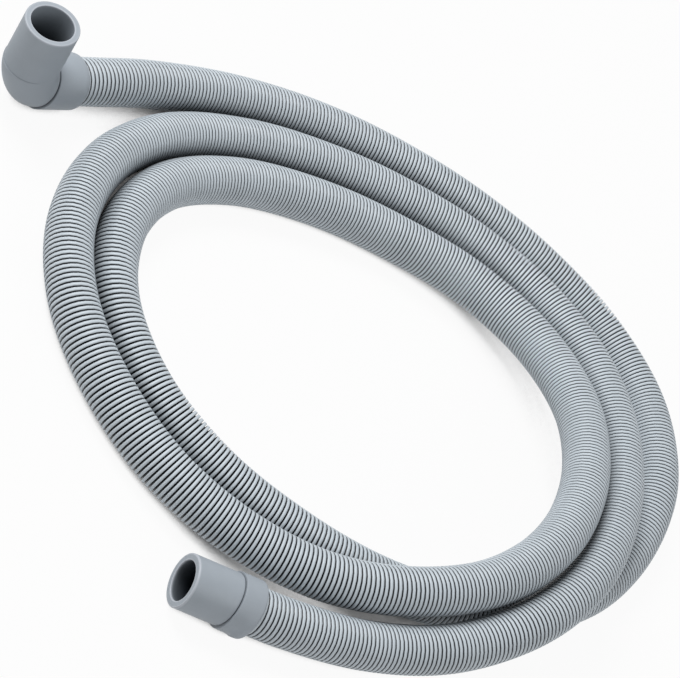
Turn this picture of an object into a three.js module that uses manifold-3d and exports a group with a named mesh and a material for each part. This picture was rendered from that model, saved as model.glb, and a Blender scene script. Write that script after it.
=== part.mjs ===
// Washing machine drain hose, lying in a loose coil of a little over two turns: a corrugated plastic
// hose with a square elbow cuff on one end and a straight cuff on the other. Millimetres, +Z up.
// The hose lies on Z = 0, with X and Y centred on the whole part.
import * as THREE from "three";
import { mergeVertices } from "three/addons/utils/BufferGeometryUtils.js";
import Module from "manifold-3d";

const wasm = await Module();
wasm.setup();

// The hose
const hoseDiameter = 24; // over the ribs
const hoseWall = 2; // from over the ribs to the bore
const hoseSides = 12;
const hoseSteps = 78; // straight stretches that the coil is made of
const slipGap = 0.3; // all round the hose end in its socket

// Both cuffs
const cuffSides = 40;
const collarLip = 1.1; // rounding where the collar meets the hose
const grooveDepth = 0.6; // of the line between the collar and the cuff's body
const grooveWidth = 0.7;
const mouthRound = 0.5;

// The straight cuff, for the smaller drain spigot
const straightBore = 20;
const straightWall = 3.4;
const straightCollarWall = 2; // around the hose end
const straightSocketDepth = 12;
const straightCollarLength = 13.7;
const straightSpoutLength = 24.3;

// The elbow cuff, for the larger spigot on the machine. Lengths run from the corner, where the axes
// of the hose and of the spout meet.
const elbowBore = 22;
const elbowWall = 3;
const elbowCollarWall = 1.8; // around the hose end
const elbowSocketDepth = 16;
const elbowCollarReach = 31.5; // along the hose, to the collar's open end
const elbowNeck = 8.5; // along the hose, to the groove line round the neck
const elbowSpoutReach = 41.4; // up the spout, to the mouth
const elbowSeam = 14.4; // up the spout, to the line where the rounded corner ends
const elbowAngle = 100; // between the hose and the spout, degrees
const elbowLean = -8; // of the spout to one side, about the hose, degrees
const elbowShoulder = 0.3; // how far the rounded corner stands out around the spout
const neckTilt = 17.5; // of the groove line, which leans away from the spout, degrees
const bendSpare = 0.4; // what the bend's centreline has over the corner's own radius
const bendSteps = 14; // straight stretches along the whole bend
const overlap = 2; // of pieces that are joined, and of a cut past the end of what it cuts

// The way the hose lies, from the elbow to the straight cuff: under itself at the lower right of the
// coil, and over that low stretch twice in long humps. Points on the hose's centreline.
const routePoints = [
  [-170.5, -30, 14.8], [-157, -4, 15.4], [-141, 27.5, 15], [-110.5, 75.5, 13], [-75, 114.5, 12.2],
  [-36, 144, 12.2], [6.5, 167, 12.2], [51, 181, 12.2], [97, 184.5, 12.5], [140, 169, 15],
  [172, 133, 17], [187, 87.5, 14], [186.5, 39, 12.3], [170.5, -5.5, 12.2], [145, -44.5, 12.2],
  [110, -76.5, 12.2], [68, -99.5, 12.2], [22.5, -113.5, 12.2], [-25, -112.5, 12.2], [-67, -92, 12.2],
  [-92.5, -54, 12.2], [-96.5, -11, 12.5], [-79, 32.5, 12.5], [-47, 71.5, 12.6], [-10, 101, 13],
  [34.5, 121, 17.3], [79.5, 118.5, 27], [118, 94, 38.5], [144.5, 54.5, 44.5], [156, 9, 44.5],
  [150.5, -38.5, 39.7], [128, -81.5, 32.3], [95.5, -114, 24.2], [55, -133.5, 17.6], [8.5, -141.5, 13.8],
  [-39, -134.5, 13], [-80.5, -113.8, 12.9], [-110, -78, 12.6], [-122.5, -32, 12.3], [-116, 14, 12.2],
  [-91.5, 58.5, 12.4], [-60, 93.5, 12.9], [-23.5, 122.5, 13.7], [19, 144, 16], [64.5, 150, 21.6],
  [108.5, 136, 29.5], [144, 105, 35.6], [168.5, 63.5, 37.7], [180, 17, 37.5], [177, -30.5, 32.8],
  [160, -76, 23], [133.5, -112.5, 16.2], [98, -147, 14.4], [74, -165.3, 14.4],
];

// Sizes that follow from the ones above
const hoseBore = hoseDiameter - 2 * hoseWall;
const socketRadius = hoseDiameter / 2 + slipGap;
const straightRadius = straightBore / 2 + straightWall;
const straightCollarRadius = socketRadius + straightCollarWall;
const spoutRadius = elbowBore / 2 + elbowWall;
const elbowCollarRadius = socketRadius + elbowCollarWall;
const cornerRadius = spoutRadius + elbowShoulder;
const bendRadius = cornerRadius + bendSpare;
const elbowSocketFloor = elbowCollarReach - elbowSocketDepth;

const hosePlastic = new THREE.MeshStandardMaterial({ color: 0xb4bfc5, roughness: 0.48, metalness: 0 });
const cuffRubber = new THREE.MeshStandardMaterial({ color: 0x9298a1, roughness: 0.55, metalness: 0 });

// Shapes

function ring(radius, sides) {
  const points = [];
  for (let i = 0; i < sides; i++) {
    const angle = (2 * Math.PI * i) / sides;
    points.push(new THREE.Vector2(radius * Math.cos(angle), radius * Math.sin(angle)));
  }
  return points;
}

// A turned piece about +Z, from [radius, height] pairs that close on themselves
function turned(profile) {
  const points = profile.map(([radius, height]) => new THREE.Vector2(radius, height));
  points.push(points[0].clone());
  return new THREE.LatheGeometry(points, cuffSides).rotateX(Math.PI / 2);
}

// A plain cylinder along +Z between two heights
function rod(radius, low, high) {
  const length = high - low;
  return new THREE.CylinderGeometry(radius, radius, length, cuffSides)
    .rotateX(Math.PI / 2)
    .translate(0, 0, (low + high) / 2);
}

// The elbow's centreline: along one axis, round the bend, and along the other
class BentLine extends THREE.Curve {
  constructor(radius, angle, before, after) {
    super();
    this.radius = radius;
    this.turn = Math.PI - angle;
    this.tangentLength = radius / Math.tan(angle / 2); // corner to the start of the bend
    this.before = before - this.tangentLength;
    this.after = after - this.tangentLength;
    this.bend = radius * this.turn;
  }

  getPoint(t, target = new THREE.Vector3()) {
    const along = t * (this.before + this.bend + this.after);
    if (along <= this.before) return target.set(this.tangentLength + this.before - along, 0, 0);
    const spin = Math.min((along - this.before) / this.radius, this.turn);
    const past = Math.max(along - this.before - this.bend, 0);
    const x = this.tangentLength - this.radius * Math.sin(spin) - past * Math.cos(spin);
    const z = this.radius * (1 - Math.cos(spin)) + past * Math.sin(spin);
    return target.set(x, 0, z);
  }
}

function bentRod(radius, line) {
  const shape = new THREE.Shape(ring(radius, cuffSides));
  return new THREE.ExtrudeGeometry(shape, { extrudePath: line, steps: bendSteps, bevelEnabled: false });
}

// Cutting and joining

function solid(geometry) {
  const bare = geometry.clone();
  for (const name of ["normal", "uv"]) bare.deleteAttribute(name);
  const merged = mergeVertices(bare, 1e-4);
  const mesh = new wasm.Mesh({
    numProp: 3,
    vertProperties: new Float32Array(merged.attributes.position.array),
    triVerts: new Uint32Array(merged.index.array),
  });
  return new wasm.Manifold(mesh);
}

function geometryOf(body) {
  const mesh = body.getMesh();
  const geometry = new THREE.BufferGeometry();
  geometry.setAttribute("position", new THREE.BufferAttribute(new Float32Array(mesh.vertProperties), 3));
  geometry.setIndex(new THREE.BufferAttribute(new Uint32Array(mesh.triVerts), 1));
  geometry.computeVertexNormals();
  return geometry;
}

// The straight cuff, its collar's open end at 0 and its mouth up +Z

function makeStraightCuff() {
  const mouth = straightCollarLength + straightSpoutLength;
  const bore = straightBore / 2;
  return turned([
    [socketRadius, 0],
    [straightCollarRadius - collarLip, 0],
    [straightCollarRadius - collarLip * 0.3, collarLip * 0.3],
    [straightCollarRadius, collarLip],
    [straightCollarRadius, straightCollarLength - grooveWidth],
    [straightRadius - grooveDepth, straightCollarLength - grooveWidth],
    [straightRadius - grooveDepth, straightCollarLength],
    [straightRadius, straightCollarLength],
    [straightRadius, mouth - mouthRound],
    [straightRadius - mouthRound, mouth],
    [bore + mouthRound, mouth],
    [bore, mouth - mouthRound],
    [bore, straightSocketDepth],
    [socketRadius, straightSocketDepth],
  ]);
}

// The elbow cuff, its corner at the origin, the hose along +X and the spout up

function makeElbowCuff() {
  const angle = THREE.MathUtils.degToRad(elbowAngle);
  const tilt = THREE.MathUtils.degToRad(neckTilt);
  const upSpout = (geometry) => geometry.rotateY(Math.PI / 2 - angle);
  const downHose = (geometry) => geometry.rotateY(Math.PI / 2);
  const bore = elbowBore / 2;

  // The corner and the collar end at the two sides of the groove line, and the neck inside joins them
  const towardsHose = [Math.cos(tilt), 0, -Math.sin(tilt)];
  const towardsSpout = towardsHose.map((value) => -value);
  const grooveStart = elbowNeck * Math.cos(tilt);
  const neckEnd = elbowNeck + elbowCollarRadius * Math.tan(tilt) + overlap;
  const outerLine = new BentLine(bendRadius, angle, neckEnd, elbowSeam);
  const innerLine = new BentLine(bendRadius, angle, neckEnd, elbowSeam - overlap);
  const corner = solid(bentRod(cornerRadius, outerLine)).trimByPlane(towardsSpout, -grooveStart);
  const neck = solid(bentRod(cornerRadius - grooveDepth, innerLine));
  const collar = solid(downHose(turned([
    [0, 0],
    [elbowCollarRadius, 0],
    [elbowCollarRadius, elbowCollarReach - collarLip],
    [elbowCollarRadius - collarLip * 0.3, elbowCollarReach - collarLip * 0.3],
    [elbowCollarRadius - collarLip, elbowCollarReach],
    [0, elbowCollarReach],
  ]))).trimByPlane(towardsHose, grooveStart + grooveWidth);
  const spout = solid(upSpout(turned([
    [0, elbowSeam - overlap],
    [spoutRadius, elbowSeam - overlap],
    [spoutRadius, elbowSpoutReach - mouthRound],
    [spoutRadius - mouthRound, elbowSpoutReach],
    [0, elbowSpoutReach],
  ])));

  const boreLine = new BentLine(bendRadius, angle, elbowSocketFloor + overlap, elbowSeam + 2 * overlap);
  const bendBore = bentRod(hoseBore / 2, boreLine);
  const spoutBore = upSpout(turned([
    [0, elbowSeam + overlap],
    [bore, elbowSeam + overlap],
    [bore, elbowSpoutReach - mouthRound],
    [bore + mouthRound, elbowSpoutReach],
    [bore + mouthRound, elbowSpoutReach + overlap],
    [0, elbowSpoutReach + overlap],
  ]));
  const socket = downHose(rod(socketRadius, elbowSocketFloor, elbowCollarReach + overlap));

  let cuff = corner.add(neck).add(collar).add(spout);
  for (const cut of [bendBore, spoutBore, socket]) cuff = cuff.subtract(solid(cut));
  return geometryOf(cuff);
}

// The hose

const routeStations = routePoints.map((point) => new THREE.Vector3(...point));
const route = new THREE.CatmullRomCurve3(routeStations, false, "centripetal");
route.arcLengthDivisions = 1600;

function makeHose() {
  const wall = new THREE.Shape(ring(hoseDiameter / 2, hoseSides));
  wall.holes.push(new THREE.Path(ring(hoseBore / 2, hoseSides).reverse()));
  return new THREE.ExtrudeGeometry(wall, { extrudePath: route, steps: hoseSteps, bevelEnabled: false });
}

// The part

const drainHose = new THREE.Group();

const hose = new THREE.Mesh(makeHose(), hosePlastic);
hose.name = "corrugated_hose";
drainHose.add(hose);

// A frame whose first axis runs along the hose, and whose third is as near upright as that allows
function along(direction) {
  const side = new THREE.Vector3(0, 0, 1).cross(direction).normalize();
  const up = direction.clone().cross(side);
  return new THREE.Matrix4().makeBasis(direction, side, up);
}

const intoHose = route.getTangentAt(0);
const elbow = new THREE.Mesh(makeElbowCuff(), cuffRubber);
elbow.name = "elbow_cuff";
elbow.setRotationFromMatrix(along(intoHose));
elbow.rotateX(THREE.MathUtils.degToRad(elbowLean));
elbow.position.copy(route.getPointAt(0)).addScaledVector(intoHose, -(elbowSocketFloor + slipGap));
drainHose.add(elbow);

const outOfHose = route.getTangentAt(1);
const straight = new THREE.Mesh(makeStraightCuff(), cuffRubber);
straight.name = "straight_cuff";
straight.setRotationFromMatrix(along(outOfHose));
straight.rotateY(Math.PI / 2);
straight.position.copy(route.getPointAt(1)).addScaledVector(outOfHose, slipGap - straightSocketDepth);
drainHose.add(straight);

// The origin: under the middle of the part, on the surface that it lies on
drainHose.updateMatrixWorld(true);
const box = new THREE.Box3().setFromObject(drainHose, true);
const middle = box.getCenter(new THREE.Vector3());
drainHose.position.set(-middle.x, -middle.y, -box.min.z);

export default drainHose;
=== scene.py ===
import bpy
import math
import numpy as np
from mathutils import Matrix, Vector


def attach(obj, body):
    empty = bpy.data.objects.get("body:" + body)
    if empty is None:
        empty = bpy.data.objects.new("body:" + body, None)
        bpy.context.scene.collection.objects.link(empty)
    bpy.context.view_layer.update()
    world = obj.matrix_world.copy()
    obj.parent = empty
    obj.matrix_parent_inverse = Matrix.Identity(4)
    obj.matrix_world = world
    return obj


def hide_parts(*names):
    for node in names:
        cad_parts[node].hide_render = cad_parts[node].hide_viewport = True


# A washing machine drain hose lying in a loose coil: corrugated plastic, with an elbow cuff on
# one end and a straight cuff on the other. The part is 0.4 m across and lies on the floor, z = 0.

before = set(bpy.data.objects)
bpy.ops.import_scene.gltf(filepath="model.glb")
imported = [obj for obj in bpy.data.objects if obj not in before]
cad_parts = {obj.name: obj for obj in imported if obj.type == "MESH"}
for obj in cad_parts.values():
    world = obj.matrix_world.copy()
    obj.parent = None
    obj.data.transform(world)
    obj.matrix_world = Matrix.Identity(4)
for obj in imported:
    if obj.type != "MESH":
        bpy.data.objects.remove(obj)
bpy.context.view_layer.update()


def fromScreen(red, green, blue):
    # a colour as it is seen on a screen, 0 to 255, turned into the linear colour a shader takes
    def linear(value):
        value = value / 255
        return value / 12.92 if value <= 0.04045 else ((value + 0.055) / 1.055) ** 2.4
    return (linear(red), linear(green), linear(blue), 1.0)


print("camera")

cameraSetup = {
    "place": (0.013938, -1.792792, 1.486601),  # metres
    "elevation": 39.18,                      # degrees above the floor, looking along +Y
    "roll": 50.46,                           # degrees, the picture is turned about its middle
    "lens": 253.5,
}


def addCamera(setup):
    data = bpy.data.cameras.new("photoCamera")
    data.sensor_fit = "HORIZONTAL"
    data.sensor_width = 36
    data.lens = setup["lens"]
    data.clip_end = 20
    camera = bpy.data.objects.new("photoCamera", data)
    bpy.context.scene.collection.objects.link(camera)
    aim = Matrix.Rotation(math.radians(90 - setup["elevation"]), 4, "X")
    roll = Matrix.Rotation(math.radians(setup["roll"]), 4, "Z")
    camera.matrix_world = Matrix.Translation(setup["place"]) @ aim @ roll
    bpy.context.scene.camera = camera


addCamera(cameraSetup)

print("route")

routeShift = (-0.0622, -2.7922, -0.0989)     # mm, puts the coil's middle over the origin
routePoints = [                              # mm, the hose's centreline, elbow end first
    (-170.5, -30, 14.8), (-157, -4, 15.4), (-141, 27.5, 15), (-110.5, 75.5, 13), (-75, 114.5, 12.2),
    (-36, 144, 12.2), (6.5, 167, 12.2), (51, 181, 12.2), (97, 184.5, 12.5), (140, 169, 15),
    (172, 133, 17), (187, 87.5, 14), (186.5, 39, 12.3), (170.5, -5.5, 12.2), (145, -44.5, 12.2),
    (110, -76.5, 12.2), (68, -99.5, 12.2), (22.5, -113.5, 12.2), (-25, -112.5, 12.2), (-67, -92, 12.2),
    (-92.5, -54, 12.2), (-96.5, -11, 12.5), (-79, 32.5, 12.5), (-47, 71.5, 12.6), (-10, 101, 13),
    (34.5, 121, 17.3), (79.5, 118.5, 27), (118, 94, 38.5), (144.5, 54.5, 44.5), (156, 9, 44.5),
    (150.5, -38.5, 39.7), (128, -81.5, 32.3), (95.5, -114, 24.2), (55, -133.5, 17.6),
    (8.5, -141.5, 13.8), (-39, -134.5, 13), (-80.5, -113.8, 12.9), (-110, -78, 12.6),
    (-122.5, -32, 12.3), (-116, 14, 12.2), (-91.5, 58.5, 12.4), (-60, 93.5, 12.9),
    (-23.5, 122.5, 13.7), (19, 144, 16), (64.5, 150, 21.6), (108.5, 136, 29.5), (144, 105, 35.6),
    (168.5, 63.5, 37.7), (180, 17, 37.5), (177, -30.5, 32.8), (160, -76, 23), (133.5, -112.5, 16.2),
    (98, -147, 14.4), (74, -165.3, 14.4),
]


def smoothRoute(points, shift, stepsEach=120):
    # centripetal Catmull-Rom through the points, in metres, close enough together to measure on
    knots = (np.array(points) + np.array(shift)) / 1000
    knots = np.vstack([2 * knots[0] - knots[1], knots, 2 * knots[-1] - knots[-2]])
    share = np.arange(stepsEach)[:, None] / stepsEach
    line = []
    for before, start, end, after in zip(knots, knots[1:], knots[2:], knots[3:]):
        steps = (start - before, end - start, after - end)
        gapBefore, gap, gapAfter = (math.sqrt(np.linalg.norm(step)) for step in steps)
        startSlope = gap * ((start - before) / gapBefore - (end - before) / (gapBefore + gap)
                            + (end - start) / gap)
        endSlope = gap * ((end - start) / gap - (after - start) / (gap + gapAfter)
                          + (after - end) / gapAfter)
        line.append(start + startSlope * share
                    + (3 * (end - start) - 2 * startSlope - endSlope) * share ** 2
                    + (2 * (start - end) + startSlope + endSlope) * share ** 3)
    line.append(knots[-2][None])
    line = np.vstack(line)
    along = np.concatenate([[0], np.cumsum(np.linalg.norm(np.diff(line, axis=0), axis=1))])
    return line, along


routeLine, routeAlong = smoothRoute(routePoints, routeShift)
routeLength = routeAlong[-1]
print("  the hose is %.3f m long" % routeLength)


def pointsAt(distances):
    return np.stack([np.interp(distances, routeAlong, routeLine[:, axis]) for axis in range(3)], 1)


def unit(vector):
    return vector / np.linalg.norm(vector, axis=-1, keepdims=True)


hoseStart = {"point": routeLine[0], "direction": unit(routeLine[1] - routeLine[0])}
hoseEnd = {"point": routeLine[-1], "direction": unit(routeLine[-1] - routeLine[-2])}


def framesAlong(centres):
    # a side and an up for each centre, square to the line and carried along without twisting
    forward = unit(np.gradient(centres, axis=0))
    side = np.zeros_like(forward)
    side[0] = unit(np.cross((0, 0, 1), forward[0]))
    for step in range(1, len(forward)):
        carried = side[step - 1] - forward[step] * np.dot(side[step - 1], forward[step])
        side[step] = unit(carried)
    return side, np.cross(forward, side)


def addPiece(name, points, faces, material, node):
    mesh = bpy.data.meshes.new(name)
    mesh.from_pydata(points, [], faces)
    mesh.validate()
    mesh.shade_smooth()
    piece = bpy.data.objects.new(name, mesh)
    bpy.context.scene.collection.objects.link(piece)
    piece.data.materials.append(material)
    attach(piece, "root")
    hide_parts(node)
    return piece


def closedTube(rings):
    # the last of the rings joins the first, so the outside and the bore are one skin
    rows, sides = rings.shape[:2]
    index = np.arange(rows * sides).reshape(rows, sides)
    nextRow = np.roll(index, -1, axis=0)
    faces = np.stack([index, np.roll(index, -1, axis=1), np.roll(nextRow, -1, axis=1), nextRow], -1)
    return rings.reshape(-1, 3), faces.reshape(-1, 4)


def addMask(piece, name, values):
    mask = piece.data.attributes.new(name, "FLOAT", "POINT")
    mask.data.foreach_set("value", np.asarray(values, np.float32).ravel())


def addCuffMasks(piece, masks):
    # masks: ring, mask, place round the ring
    masks = np.array(masks)
    # a painted highlight on the rims, painted shade lines in the grooves and the seam, painted shade in
    # the bores
    for column, name in enumerate(("rimHighlight", "lineShade", "inside")):
        addMask(piece, name, masks[:, column])


def cuffAxes(direction):
    # the cuff's own frame: the first axis along the hose, the third as upright as it can be
    side = unit(np.cross((0, 0, 1), direction))
    return np.stack([direction, side, np.cross(direction, side)])


def roundedTurn(centre, radius, start, end, steps):
    # a quarter round in a profile, as (radius, height) pairs
    angles = np.radians(np.linspace(start, end, steps))
    return [(centre[0] + radius * math.cos(angle), centre[1] + radius * math.sin(angle))
            for angle in angles]


def curveAt(points, share):
    # a point on the Bezier curve through the given handles
    points = [np.array(point) for point in points]
    while len(points) > 1:
        points = [first + (second - first) * share for first, second in zip(points, points[1:])]
    return points[0]


print("finishes")


def newGroup(name, inputs, outputs):
    tree = bpy.data.node_groups.new(name, "ShaderNodeTree")
    for label, kind in inputs:
        tree.interface.new_socket(label, in_out="INPUT", socket_type=kind)
    for label, kind in outputs:
        tree.interface.new_socket(label, in_out="OUTPUT", socket_type=kind)
    return tree, tree.nodes.new("NodeGroupInput"), tree.nodes.new("NodeGroupOutput")


def feed(tree, socket, value):
    # a socket takes a fixed value, or what another node puts out
    if isinstance(value, bpy.types.NodeSocket):
        tree.links.new(value, socket)
    else:
        socket.default_value = value


def addNoise(tree, place, scale, detail, roughness):
    noise = tree.nodes.new("ShaderNodeTexNoise")
    tree.links.new(place, noise.inputs["Vector"])
    feed(tree, noise.inputs["Scale"], scale)
    noise.inputs["Detail"].default_value = detail
    noise.inputs["Roughness"].default_value = roughness
    return noise.outputs["Fac"]


def addMath(tree, operation, first, second):
    node = tree.nodes.new("ShaderNodeMath")
    node.operation = operation
    feed(tree, node.inputs[0], first)
    feed(tree, node.inputs[1], second)
    return node.outputs[0]


def addMix(tree, factor, first, second, blend="MIX"):
    node = tree.nodes.new("ShaderNodeMix")
    node.data_type = "RGBA"
    node.blend_type = blend
    # its colour sockets are the seventh and eighth, and its colour output the third
    feed(tree, node.inputs[0], factor)
    feed(tree, node.inputs[6], first)
    feed(tree, node.inputs[7], second)
    return node.outputs[2]


def addRange(tree, value, fromLow, fromHigh, toLow, toHigh):
    node = tree.nodes.new("ShaderNodeMapRange")
    tree.links.new(value, node.inputs["Value"])
    ends = (("From Min", fromLow), ("From Max", fromHigh), ("To Min", toLow), ("To Max", toHigh))
    for label, number in ends:
        node.inputs[label].default_value = number
    return node.outputs["Result"]


skinNoise = {                                # detail and roughness, after the scale where it is fixed
    "clouds": (4.0, 0.55),
    "grain": (2.0, 0.6),
    "rubbing": (24.0, 5.0, 0.7),
    "rubbed": (0.35, 0.7),                   # from where in the noise to where the skin turns rubbed
}


def makeMouldedSkin(noises):
    # what any moulded plastic or rubber shows up close: cloudy tone, fine grain, a rubbed bloom
    tree, given, result = newGroup(
        "mouldedSkin",
        [("Colour", "NodeSocketColor"), ("Cloudiness", "NodeSocketFloat"),
         ("Cloud Scale", "NodeSocketFloat"), ("Grain Scale", "NodeSocketFloat")],
        [("Colour", "NodeSocketColor"), ("Height", "NodeSocketFloat"), ("Rubbed", "NodeSocketFloat")])
    place = tree.nodes.new("ShaderNodeTexCoord").outputs["Object"]
    clouds = addNoise(tree, place, given.outputs["Cloud Scale"], *noises["clouds"])
    grain = addNoise(tree, place, given.outputs["Grain Scale"], *noises["grain"])
    rubbing = addNoise(tree, place, *noises["rubbing"])
    # the noise is about a half, so the tone goes up and down about one
    drift = addMath(tree, "MULTIPLY", addMath(tree, "SUBTRACT", clouds, 0.5), given.outputs["Cloudiness"])
    tone = addMath(tree, "ADD", addMath(tree, "MULTIPLY", drift, 2.0), 1.0)
    grey = tree.nodes.new("ShaderNodeCombineColor")
    for channel in grey.inputs[:3]:
        tree.links.new(tone, channel)
    tinted = addMix(tree, 1.0, given.outputs["Colour"], grey.outputs["Color"], "MULTIPLY")
    tree.links.new(tinted, result.inputs["Colour"])
    tree.links.new(grain, result.inputs["Height"])
    tree.links.new(addRange(tree, rubbing, *noises["rubbed"], 0.0, 1.0), result.inputs["Rubbed"])
    return tree


mouldedSkin = makeMouldedSkin(skinNoise)


def newFinish(name):
    material = bpy.data.materials.new(name)
    material.use_nodes = True
    tree = material.node_tree
    return material, tree, tree.nodes["Principled BSDF"]


def addSkin(tree, shader, colour, look):
    skin = tree.nodes.new("ShaderNodeGroup")
    skin.node_tree = mouldedSkin
    tree.links.new(colour, skin.inputs["Colour"])
    skin.inputs["Cloudiness"].default_value = look["cloudiness"]
    skin.inputs["Cloud Scale"].default_value = look["cloudScale"]
    skin.inputs["Grain Scale"].default_value = look["grainScale"]
    tree.links.new(skin.outputs["Colour"], shader.inputs["Base Color"])
    smooth, rough = look["roughness"]
    roughness = addRange(tree, skin.outputs["Rubbed"], 0, 1, smooth, rough)
    tree.links.new(roughness, shader.inputs["Roughness"])
    bump = tree.nodes.new("ShaderNodeBump")
    bump.inputs["Strength"].default_value = look["grain"]
    bump.inputs["Distance"].default_value = look["grainDepth"]
    tree.links.new(skin.outputs["Height"], bump.inputs["Height"])
    tree.links.new(bump.outputs["Normal"], shader.inputs["Normal"])


def readMask(tree, name):
    mask = tree.nodes.new("ShaderNodeAttribute")
    mask.attribute_name = name
    return mask.outputs["Fac"]


hoseLook = {
    "crest": fromScreen(194, 203, 210),
    # painted shade in the grooves between the ribs
    "groove": fromScreen(16, 20, 26),
    "grooveShadeEdge": (0.02, 0.25),              # how far down a rib's side the painted shade starts and is full
    # painted shade where one strand lies against another
    "creviceShade": fromScreen(30, 36, 43),
    "creviceShadeShare": 0.9,                     # how much of the painted shade shows where strands touch
    "cloudiness": 0.10, "cloudScale": 45.0,
    "grain": 0.12, "grainScale": 3000.0, "grainDepth": 0.0001,
    "roughness": (0.42, 0.55),
}


def makeHosePlastic(look):
    material, tree, shader = newFinish("hosePlastic")
    start, full = look["grooveShadeEdge"]
    # painted shade in the grooves between the ribs
    shade = addRange(tree, readMask(tree, "ribGrooveShade"), start, full, 0.0, 1.0)
    colour = addMix(tree, shade, look["crest"], look["groove"])
    # painted shade where strands lie side by side
    strandShade = addMath(tree, "MULTIPLY", readMask(tree, "shadeAgainstStrand"), look["creviceShadeShare"])
    colour = addMix(tree, strandShade, colour, look["creviceShade"])
    addSkin(tree, shader, colour, look)
    return material


cuffLook = {
    "rubber": fromScreen(155, 163, 171),
    # painted highlight on the rounded rims and the bore's edges
    "rim": fromScreen(184, 189, 197),
    # painted shade in the grooves and along the seam
    "line": fromScreen(52, 58, 66),
    # painted shade in the bores
    "inside": fromScreen(24, 30, 37),
    "cloudiness": 0.07, "cloudScale": 90.0,
    "grain": 0.25, "grainScale": 2200.0, "grainDepth": 0.0002,
    "roughness": (0.46, 0.6),
}


def makeCuffRubber(look):
    material, tree, shader = newFinish("cuffRubber")
    # painted highlight on the rims, then painted shade lines, then painted shade in the bores
    colour = addMix(tree, readMask(tree, "rimHighlight"), look["rubber"], look["rim"])
    colour = addMix(tree, readMask(tree, "lineShade"), colour, look["line"])
    colour = addMix(tree, readMask(tree, "inside"), colour, look["inside"])
    addSkin(tree, shader, colour, look)
    return material


hosePlastic = makeHosePlastic(hoseLook)
cuffRubber = makeCuffRubber(cuffLook)

print("straight cuff")

straightShape = {                            # mm, heights from the collar's open end
    "bore": 10.0, "sleeve": 13.4, "collar": 14.3, "socket": 12.3,
    "collarLength": 13.7, "socketDepth": 12.0, "length": 38.0,
    "hoseGap": 0.3,                          # between the hose's end and the socket's floor
    "rimRound": 0.6, "boreRound": 0.4, "lipRound": 1.1, "socketRound": 0.4,
    "rimSteps": 6, "boreSteps": 5, "lipSteps": 6,
    "flatInset": 0.35,                       # from the mouth's rounded edges to its flat ring
    # rows on the plain stretches: how far in from each end, and how many
    "collarRows": (0.6, 0.5, 12), "sleeveRows": (1.0, 0.6, 8),
    "grooveWidth": 0.6, "grooveDepth": 0.5,
    # the groove's edges: in from the side and away from the groove, and how much painted shade
    "collarEdge": [(0.0, 0.2, 0.0), (0.12, 0.05, 0.1)],
    "sleeveEdge": [(0.1, 0.02, 0.0), (0.0, 0.2, 0.0)],
    # inside the groove: share of its depth, height from its low edge, and how much painted shade
    "grooveInside": [(0.7, 0.06, 0.7), (1.0, 0.3, 1.0), (0.7, 0.5, 0.7)],
    # how far the collar's open end and its groove stand off square: all round, top, camera side
    "openEndTilt": (0.2, -0.7, 0.7), "grooveTilt": (-0.3, -0.9, 0.9),
    # how far the collar's lower side stands out, by height, and where round the cuff it does
    "flare": [(0.0, 1.0), (3.5, 1.2), (6.0, 0.5), (12.5, 0.35), (13.7, 0.0)],
    "flareMiddle": 115.0, "flareReach": 65.0,
    # painted highlight on the mouth's rounded outer edge and on the bore's edge
    "rimHighlight": 0.8, "boreEdgeHighlight": 0.9,
    # painted shade in the bore, by depth from the mouth
    "boreShade": [(0.8, 0.5), (1.6, 0.75), (3.5, 0.9), (8, 1), (16, 1)],
    "socketShade": 0.4,
    "sides": 96,
}


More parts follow.
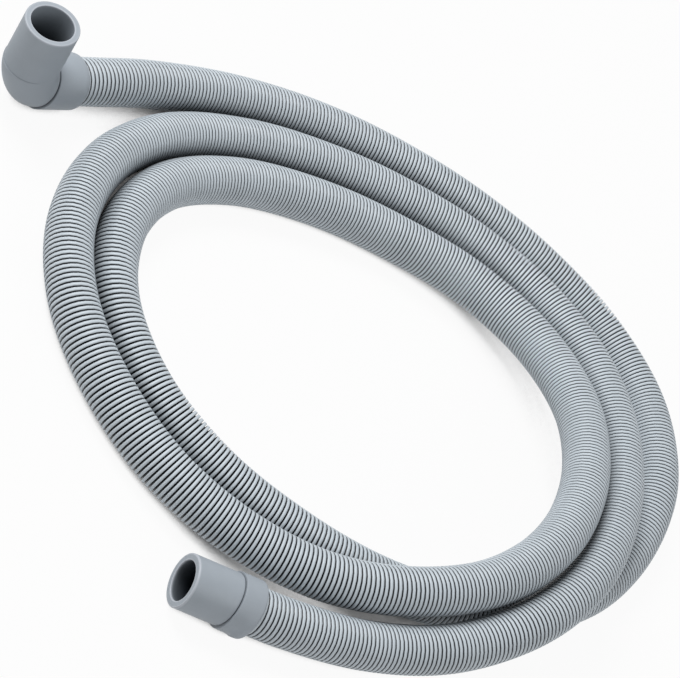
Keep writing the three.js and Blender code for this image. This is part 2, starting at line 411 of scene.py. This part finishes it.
def makeStraightCuff(cuff):
    grooveEnd = cuff["collarLength"]
    grooveStart = grooveEnd - cuff["grooveWidth"]
    collar, sleeve, bore, mouth = cuff["collar"], cuff["sleeve"], cuff["bore"], cuff["length"]
    lip, rim, boreEdge = cuff["lipRound"], cuff["rimRound"], cuff["boreRound"]
    rows = []                                # radius, height, painted highlight, painted shade line, painted shade inside

    def row(radius, height, rim=0.0, line=0.0, inside=0.0):
        rows.append((radius, height, rim, line, inside))

    for radius, height in roundedTurn((collar - lip, lip), lip, -90, 0, cuff["lipSteps"]):
        row(radius, height)
    low, high, count = cuff["collarRows"]
    for height in np.linspace(lip + low, grooveStart - high, count):
        row(collar, height)
    # painted shade in and beside the groove
    for inward, away, dark in cuff["collarEdge"]:
        row(collar - inward, grooveStart - away, line=dark)
    for deep, height, dark in cuff["grooveInside"]:
        row(sleeve - cuff["grooveDepth"] * deep, grooveStart + height, line=dark)
    for inward, away, dark in cuff["sleeveEdge"]:
        row(sleeve - inward, grooveEnd + away, line=dark)
    low, high, count = cuff["sleeveRows"]
    for height in np.linspace(grooveEnd + low, mouth - rim - high, count):
        row(sleeve, height)
    # painted highlight on the mouth's rounded edges
    for radius, height in roundedTurn((sleeve - rim, mouth - rim), rim, 0, 90, cuff["rimSteps"]):
        row(radius, height, rim=cuff["rimHighlight"])
    row(sleeve - rim - cuff["flatInset"], mouth)
    row(bore + boreEdge + cuff["flatInset"], mouth)
    for radius, height in roundedTurn((bore + boreEdge, mouth - boreEdge), boreEdge, 90, 180,
                                      cuff["boreSteps"]):
        row(radius, height, rim=cuff["boreEdgeHighlight"])
    # painted shade in the bore and the socket
    for depth, inside in cuff["boreShade"]:
        row(bore, mouth - boreEdge - depth, inside=inside)
    row(bore, cuff["socketDepth"], inside=1)
    row(cuff["socket"], cuff["socketDepth"], inside=1)
    row(cuff["socket"], cuff["socketRound"], inside=cuff["socketShade"])
    row(cuff["socket"] + cuff["socketRound"], 0)

    axes = cuffAxes(hoseEnd["direction"])
    foot = hoseEnd["point"] - axes[0] * (cuff["socketDepth"] - cuff["hoseGap"]) / 1000
    turn = np.arange(cuff["sides"]) * 2 * np.pi / cuff["sides"]
    top, cameraSide = np.cos(turn), np.sin(turn)
    spokes = axes[2] * top[:, None] + axes[1] * cameraSide[:, None]
    offEnd, offGroove = (lift + high * top + near * cameraSide
                         for lift, high, near in (cuff["openEndTilt"], cuff["grooveTilt"]))
    fromMiddle = np.degrees(turn) - cuff["flareMiddle"]
    flareRound = np.clip(np.cos(np.radians(fromMiddle) * 90 / cuff["flareReach"]), 0, 1)
    flareRound[np.abs(fromMiddle) > cuff["flareReach"]] = 0
    flareHeights, flareOut = zip(*cuff["flare"])
    rings, masks = [], []
    for radius, height, *mask in rows:
        heights = np.full(cuff["sides"], float(height))
        if radius >= cuff["socket"]:
            heights += np.interp(height, (0, grooveEnd), (1, 0)) * offEnd
            heights += np.interp(height, (0, grooveEnd, mouth - 1), (0, 1, 0)) * offGroove
        outward = flareRound * np.interp(height, flareHeights, flareOut) * (radius > sleeve)
        rings.append(foot + (axes[0] * heights[:, None] + spokes * (radius + outward)[:, None]) / 1000)
        masks.append(np.tile(np.array(mask)[:, None], cuff["sides"]))
    # the rings go the other way round, so that the skin faces outwards
    points, faces = closedTube(np.array(rings)[:, ::-1])
    piece = addPiece("straightCuff", points, faces, cuffRubber, "straight_cuff")
    addCuffMasks(piece, masks)
    return piece


straightCuff = makeStraightCuff(straightShape)

print("elbow cuff")

elbowShape = {                               # mm from the corner: x towards the hose, z upright
    "angle": 100.0,                          # degrees between the hose and the spout
    "lean": -8.0,                            # degrees, the spout to one side about the hose
    "collar": 14.1, "collarRise": 0.25, "reach": 31.2, "lipRound": 1.8, "lipLength": 3.8,
    "grooveHeel": 8.8, "grooveInner": 13.0,  # x of the collar's edge, low and high
    "edgeShade": 0.1,                         # how much painted shade the groove's edges get
    # the groove between the collar and the body: heel point, inner point, half width, painted shade
    "groove": [((8.65, -12.70), (12.90, 13.50), 13.1, 0.9), ((8.25, -11.80), (12.65, 13.30), 12.5, 1),
               ((7.80, -11.75), (12.40, 13.40), 12.5, 0.9)],
    # the body's heel and inner curves, from the groove to the spout's seam
    "heelCurve": ((7.7, -12.52), (-5.0, -13.4)), "heelEase": 4.5, "heelShoulder": 0.4,
    "innerCurve": ((12.3, 14.35), (11.9, 14.65)),
    "bodyWidth": (13.2, 13.5, 13.7, 14.0),
    "bend": (13.43, 16.0),                   # what the waterway turns about
    # the seam's faint line is painted shade
    "spout": 14.0, "seam": 13.9, "seamTilt": 1.0, "seamShade": 0.35, "mouth": 41.75,
    # painted highlight on the mouth's rounded rim, its flat ring and the bore's edge
    "rimRound": 0.6, "rimHighlight": 0.5, "flatHighlight": 0.1, "boreRound": 0.4, "boreEdgeHighlight": 0.7,
    "rimSteps": 6, "boreSteps": 5, "lipSteps": 8,
    "flatInset": 0.4,                        # from the mouth's rounded edges to its flat ring
    # rows on the plain stretches: shares of the way where they start and end, and how many
    "collarRows": (0.05, 0.985, 12), "bodyRows": (0, 1, 30), "spoutRows": (0.04, 1, 12),
    "seamRows": (0.1, 0.5),                  # past the seam, the first with its line
    "rimRun": 0.6,                           # from the spout's last plain row to the rim
    "lineFade": 0.2,                         # of the cosine round the cuff, where a line ends
    "bore": 11.0, "boreStep": 17.0, "boreStepLength": 0.6,
    "waterway": 10.0, "waterwayBend": 16.0, "waterwayRows": 16, "waterwayEdge": 0.1,
    # painted shade in the bore, by depth from the mouth
    "boreShade": [(0.8, 0.05), (2.0, 0.1), (6, 0.2), (12, 0.45), (18, 0.75)],
    "stepShade": 0.95, "socketShade": 0.4,
    "socket": 12.3, "socketFloor": 15.5, "socketRound": 0.4,
    "hoseGap": 0.3,                          # between the hose's end and the socket's floor
    "sides": 96,
}


def makeElbowCuff(cuff):
    angle = math.radians(cuff["angle"])
    spoutWay = np.array((math.cos(angle), math.sin(angle)))
    spoutIn = np.array((math.sin(angle), -math.cos(angle)))      # from the heel to the inside
    spout, bore, mouth = cuff["spout"], cuff["bore"], cuff["mouth"]
    lip, rim, boreEdge = cuff["lipRound"], cuff["rimRound"], cuff["boreRound"]
    rows = []             # heel point, inner point, half width, painted highlight, painted shade line, painted shade inside, where the line ends

    def row(heel, inner, width, rim=0.0, line=0.0, inside=0.0, lineEnds=1.15):
        rows.append((np.array(heel), np.array(inner), width, rim, line, inside, lineEnds))

    def collarRow(radius, heelX, innerX, **masks):
        rise = cuff["collarRise"]
        row((heelX, rise - radius), (innerX, rise + radius), radius, **masks)

    def spoutRow(radius, heelUp, innerUp, **masks):
        row(spoutWay * heelUp - spoutIn * radius, spoutWay * innerUp + spoutIn * radius, radius, **masks)

    straight = cuff["reach"] - cuff["lipLength"]
    for radius, back in roundedTurn((cuff["collar"] - lip, 0), lip, 90, 0, cuff["lipSteps"]):
        end = straight + back * cuff["lipLength"] / lip
        collarRow(radius, end, end)
    for share in np.linspace(*cuff["collarRows"]):
        collarRow(cuff["collar"], straight + (cuff["grooveHeel"] - straight) * share,
                  straight + (cuff["grooveInner"] - straight) * share)
    # painted shade along the groove
    collarRow(cuff["collar"], cuff["grooveHeel"], cuff["grooveInner"], line=cuff["edgeShade"])
    for heel, inner, width, line in cuff["groove"]:
        row(heel, inner, width, line=line)

    seamHeel, seamInner = cuff["seam"] - cuff["seamTilt"], cuff["seam"] + cuff["seamTilt"]
    heelTop = spoutWay * seamHeel - spoutIn * (spout + cuff["heelShoulder"])
    heelPoints = [*cuff["heelCurve"], heelTop - spoutWay * cuff["heelEase"], heelTop]
    innerPoints = [*cuff["innerCurve"], spoutWay * seamInner + spoutIn * spout]
    widthAt = np.linspace(0, 1, len(cuff["bodyWidth"]))
    for share in np.linspace(*cuff["bodyRows"]):
        width = np.interp(share, widthAt, cuff["bodyWidth"])
        line = cuff["edgeShade"] if share == 0 else 0.0
        row(curveAt(heelPoints, share), curveAt(innerPoints, share), width, line=line)

    # the seam's faint line of painted shade goes round the heel only
    first, second = cuff["seamRows"]
    spoutRow(spout, seamHeel + first, seamInner + first, line=cuff["seamShade"], lineEnds=-0.1)
    spoutRow(spout, seamHeel + second, seamInner + second)
    top = mouth - rim - cuff["rimRun"]
    for share in np.linspace(*cuff["spoutRows"]):
        spoutRow(spout, seamHeel + (top - seamHeel) * share, seamInner + (top - seamInner) * share)
    # painted highlight on the mouth's rounded rim, its flat ring and the bore's edge
    for radius, back in roundedTurn((spout - rim, -rim), rim, 0, 90, cuff["rimSteps"]):
        spoutRow(radius, mouth + back, mouth + back, rim=cuff["rimHighlight"])
    spoutRow(spout - rim - cuff["flatInset"], mouth, mouth, rim=cuff["flatHighlight"])
    spoutRow(bore + boreEdge + cuff["flatInset"], mouth, mouth, rim=cuff["flatHighlight"])
    for radius, back in roundedTurn((bore + boreEdge, -boreEdge), boreEdge, 90, 180, cuff["boreSteps"]):
        spoutRow(radius, mouth + back, mouth + back, rim=cuff["boreEdgeHighlight"])
    # painted shade in the bore, the waterway and the socket
    for depth, inside in cuff["boreShade"]:
        up = mouth - boreEdge - depth
        spoutRow(bore, up, up, inside=inside)

    # the waterway is narrower than the bore, and turns the corner about one point
    waterway, boreStep = cuff["waterway"], cuff["boreStep"]
    narrowAt = boreStep - cuff["boreStepLength"]
    spoutRow(bore, boreStep, boreStep, inside=cuff["stepShade"])
    spoutRow(waterway, narrowAt, narrowAt, inside=1)
    bendAt = np.array(cuff["bend"])
    for turned in np.radians(np.linspace(180 - cuff["angle"], 0, cuff["waterwayRows"])):
        away = np.array((math.sin(turned), math.cos(turned)))
        row(bendAt - away * (cuff["waterwayBend"] + waterway),
            bendAt - away * (cuff["waterwayBend"] - waterway), waterway, inside=1)
    socket, floorX, edgeX = cuff["socket"], cuff["socketFloor"], cuff["reach"] - cuff["socketRound"]
    collarRow(waterway + cuff["waterwayEdge"], floorX, floorX, inside=1)
    collarRow(socket, floorX, floorX, inside=1)
    collarRow(socket, edgeX, edgeX, inside=cuff["socketShade"])
    collarRow(socket + cuff["socketRound"], cuff["reach"], cuff["reach"])

    axes = cuffAxes(hoseStart["direction"])
    lean = math.radians(cuff["lean"])
    upright = axes[2] * math.cos(lean) - axes[1] * math.sin(lean)
    level = axes[1] * math.cos(lean) + axes[2] * math.sin(lean)
    corner = hoseStart["point"] - axes[0] * (cuff["socketFloor"] + cuff["hoseGap"]) / 1000
    turn = np.arange(cuff["sides"]) * 2 * np.pi / cuff["sides"]
    inward = np.cos(turn)                    # 1 on the inside of the bend, -1 on the heel
    rings, masks = [], []
    for heel, inner, width, rimHighlight, line, inside, lineEnds in rows:
        flat = (heel + inner) / 2 + (inner - heel) / 2 * inward[:, None]
        rings.append(corner + (axes[0] * flat[:, :1] + upright * flat[:, 1:]
                               + level * (width * np.sin(turn))[:, None]) / 1000)
        # the painted shade line fades out where it ends round the cuff
        fade = np.clip((lineEnds - inward) / cuff["lineFade"], 0, 1)
        masks.append([np.full(cuff["sides"], rimHighlight), line * fade, np.full(cuff["sides"], inside)])
    points, faces = closedTube(np.array(rings))
    piece = addPiece("elbowCuff", points, faces, cuffRubber, "elbow_cuff")
    addCuffMasks(piece, masks)


makeElbowCuff(elbowShape)

print("corrugated hose")

hoseShape = {
    "radius": 0.012,                         # over the ribs
    "bore": 0.0098,
    "ribPitch": 0.002275,
    "sides": 21,
    "ribWidth": 0.00142,
    "ribStretch": 0.5,                       # a rib's share of the stretch, its groove takes the rest
    "grooveRadius": 0.0103,
    "grooveFloor": 0.5,                      # its share of the groove's width at the top
    # the wall is drawn out or pushed together along the hose: route point, share of the pitch
    "stretch": [(0, 1.08), (1.5, 1.08), (3, 0.99), (5, 0.96), (7, 0.95), (9, 0.91), (9.8, 0.97),
                (11, 1.10), (13, 1.03), (16, 1.08), (17.5, 1.04), (19, 1.11), (20.2, 1.06),
                (21, 0.93), (24, 0.92), (27, 0.91), (29, 1.0), (33, 1.04), (35, 1.07), (37, 1.10),
                (38.2, 1.0), (39, 0.91), (42, 0.95), (44.2, 0.91), (46.5, 0.95), (47.2, 1.04),
                (48.5, 1.11), (50, 1.02), (53, 1.03)],
    "liningSteps": 300, "routeSteps": 500, "creviceSteps": 1600,
    # where strands lie side by side, painted shade: the gap to the other strand, in metres, and how dark
    # it is there
    "creviceShade": [(0.0005, 1.0), (0.002, 0.8), (0.004, 0.4), (0.0075, 0.0)],
}


def ringsAround(centres, side, up, radii, sides):
    turn = np.arange(sides) * 2 * np.pi / sides
    spokes = (side[:, None] * np.cos(turn)[None, :, None] + up[:, None] * np.sin(turn)[None, :, None])
    return centres[:, None] + spokes * radii[:, None, None]


def ribStarts(shape):
    # where each rib starts along the hose, in metres, with a whole number of ribs
    stretchAt, stretch = zip(*shape["stretch"])
    routePoint = np.linspace(0, len(routePoints) - 1, len(routeAlong))
    perMetre = 1 / (shape["ribPitch"] * np.interp(routePoint, stretchAt, stretch))
    middles = (perMetre[1:] + perMetre[:-1]) / 2
    count = np.concatenate([[0], np.cumsum(middles * np.diff(routeAlong))])
    ribs = round(count[-1])
    print("  %d ribs" % ribs)
    return np.interp(np.arange(ribs + 1) * count[-1] / ribs, count, routeAlong)


def nearOtherStrands(shape, along, rings):
    # painted shade: 1 where the skin lies against another strand of the coil, 0 where it is in the open;
    # another strand is near in space, and well away along the hose
    radius = shape["radius"]
    gapSteps, darkness = zip(*shape["creviceShade"])
    strandAlong = np.linspace(0, routeLength, shape["creviceSteps"])
    strand = pointsAt(strandAlong)
    gaps = np.full(rings.shape[:2], gapSteps[-1])
    for place, ring, gap in zip(along, rings, gaps):
        isNear = np.linalg.norm(strand - ring.mean(0), axis=1) < 3 * radius
        isOther = np.abs(strandAlong - place) > 6 * radius
        others = strand[isNear & isOther]
        if len(others):
            gap[:] = np.linalg.norm(ring[:, None] - others, axis=2).min(1) - radius
    return np.interp(gaps, gapSteps, darkness)


def makeHose(shape):
    sides, radius = shape["sides"], shape["radius"]
    starts = ribStarts(shape)
    pitches = np.diff(starts)
    ribWidths = shape["ribWidth"] + (pitches - shape["ribPitch"]) * shape["ribStretch"]
    edge = (pitches - ribWidths) / 2
    corner = edge * shape["grooveFloor"]
    # each groove's two corners, then the two edges of the rib that follows
    steps = np.stack([-corner, corner, edge, pitches - edge], 1)
    along = np.append(np.maximum(starts[:-1, None] + steps, 0).ravel(), routeLength)
    isGroove = np.append(np.tile([True, True, False, False], len(pitches)), True)
    centres = pointsAt(along)
    side, up = framesAlong(centres)
    outer = ringsAround(centres, side, up, np.where(isGroove, shape["grooveRadius"], radius), sides)
    # the bore goes back the other way, with far fewer rings
    back = np.linspace(len(along) - 1, 0, shape["liningSteps"]).round().astype(int)
    inner = ringsAround(centres[back], side[back], up[back], np.full(len(back), shape["bore"]), sides)
    points, faces = closedTube(np.concatenate([outer, inner]))
    piece = addPiece("corrugatedHose", points, faces, hosePlastic, "corrugated_hose")
    # painted shade: full in the grooves, half in the bore
    depth = np.append(isGroove.astype(float), np.full(len(back), 0.5))
    addMask(piece, "ribGrooveShade", np.repeat(depth, sides))
    plain = ringsAround(centres, side, up, np.full(len(along), radius), sides)
    # painted shade where strands lie against each other
    strandShade = nearOtherStrands(shape, along, plain)
    addMask(piece, "shadeAgainstStrand", np.append(strandShade.ravel(), np.zeros(len(back) * sides)))


makeHose(hoseShape)

print("floor and light")

studio = {
    "floorSize": 8.0,
    "floorColour": (0.62, 0.62, 0.62, 1),
    "shadowShare": 0.06,                     # how much of the floor's own shade the camera sees
    "openness": (0.09, 0.22),                # how open a spot is where the white starts, and is full
    "opennessReach": 0.08,
    "worldLight": 0.43,
    "key": {"size": 1.2, "power": 54.0, "place": (-1.6, -0.1, 2.1)},
    "fill": {"size": 1.2, "power": 7.0, "place": (1.6, -0.6, 1.4)},
}


def seenDirectly(tree):
    # 1 for what the camera, a reflection or a clear piece sees, 0 for light on the object
    path = tree.nodes.new("ShaderNodeLightPath")
    seen = addMath(tree, "MAXIMUM", path.outputs["Is Camera Ray"], path.outputs["Is Glossy Ray"])
    return addMath(tree, "MAXIMUM", seen, path.outputs["Is Transmission Ray"])


def makeFloor(setup):
    half = setup["floorSize"] / 2
    mesh = bpy.data.meshes.new("studioFloor")
    corners = [(-half, -half, 0), (half, -half, 0), (half, half, 0), (-half, half, 0)]
    mesh.from_pydata(corners, [], [(0, 1, 2, 3)])
    floor = bpy.data.objects.new("studioFloor", mesh)
    bpy.context.scene.collection.objects.link(floor)
    material, tree, shader = newFinish("whitePaper")
    shader.inputs["Base Color"].default_value = setup["floorColour"]
    shader.inputs["Roughness"].default_value = 0.9
    # white in the open, and in its own shade in the narrow gaps between the strands
    openness = tree.nodes.new("ShaderNodeAmbientOcclusion")
    openness.inputs["Distance"].default_value = setup["opennessReach"]
    dark, white = setup["openness"]
    lift = addRange(tree, openness.outputs["AO"], dark, white, 0.0, 1 - setup["shadowShare"])
    glow = tree.nodes.new("ShaderNodeEmission")
    mix = tree.nodes.new("ShaderNodeMixShader")
    tree.links.new(addMath(tree, "MULTIPLY", seenDirectly(tree), lift), mix.inputs["Fac"])
    tree.links.new(shader.outputs["BSDF"], mix.inputs[1])
    tree.links.new(glow.outputs["Emission"], mix.inputs[2])
    tree.links.new(mix.outputs["Shader"], tree.nodes["Material Output"].inputs["Surface"])
    mesh.materials.append(material)


def makeWorld(setup):
    world = bpy.data.worlds.new("studioWorld")
    bpy.context.scene.world = world
    world.use_nodes = True
    tree = world.node_tree
    light = tree.nodes["Background"]
    light.inputs["Color"].default_value = (1, 1, 1, 1)
    light.inputs["Strength"].default_value = setup["worldLight"]
    white = tree.nodes.new("ShaderNodeBackground")
    white.inputs["Color"].default_value = (1, 1, 1, 1)
    mix = tree.nodes.new("ShaderNodeMixShader")
    path = tree.nodes.new("ShaderNodeLightPath")
    tree.links.new(path.outputs["Is Camera Ray"], mix.inputs["Fac"])
    tree.links.new(light.outputs["Background"], mix.inputs[1])
    tree.links.new(white.outputs["Background"], mix.inputs[2])
    tree.links.new(mix.outputs["Shader"], tree.nodes["World Output"].inputs["Surface"])


def addSoftbox(name, setup):
    data = bpy.data.lights.new(name, "AREA")
    data.shape = "DISK"
    data.size = setup["size"]
    data.energy = setup["power"]
    lamp = bpy.data.objects.new(name, data)
    bpy.context.scene.collection.objects.link(lamp)
    lamp.location = setup["place"]
    lamp.rotation_euler = (-Vector(setup["place"])).to_track_quat("-Z", "Y").to_euler()


makeFloor(studio)
makeWorld(studio)
addSoftbox("keySoftbox", studio["key"])
addSoftbox("fillSoftbox", studio["fill"])
bpy.context.scene.view_settings.view_transform = "Standard"
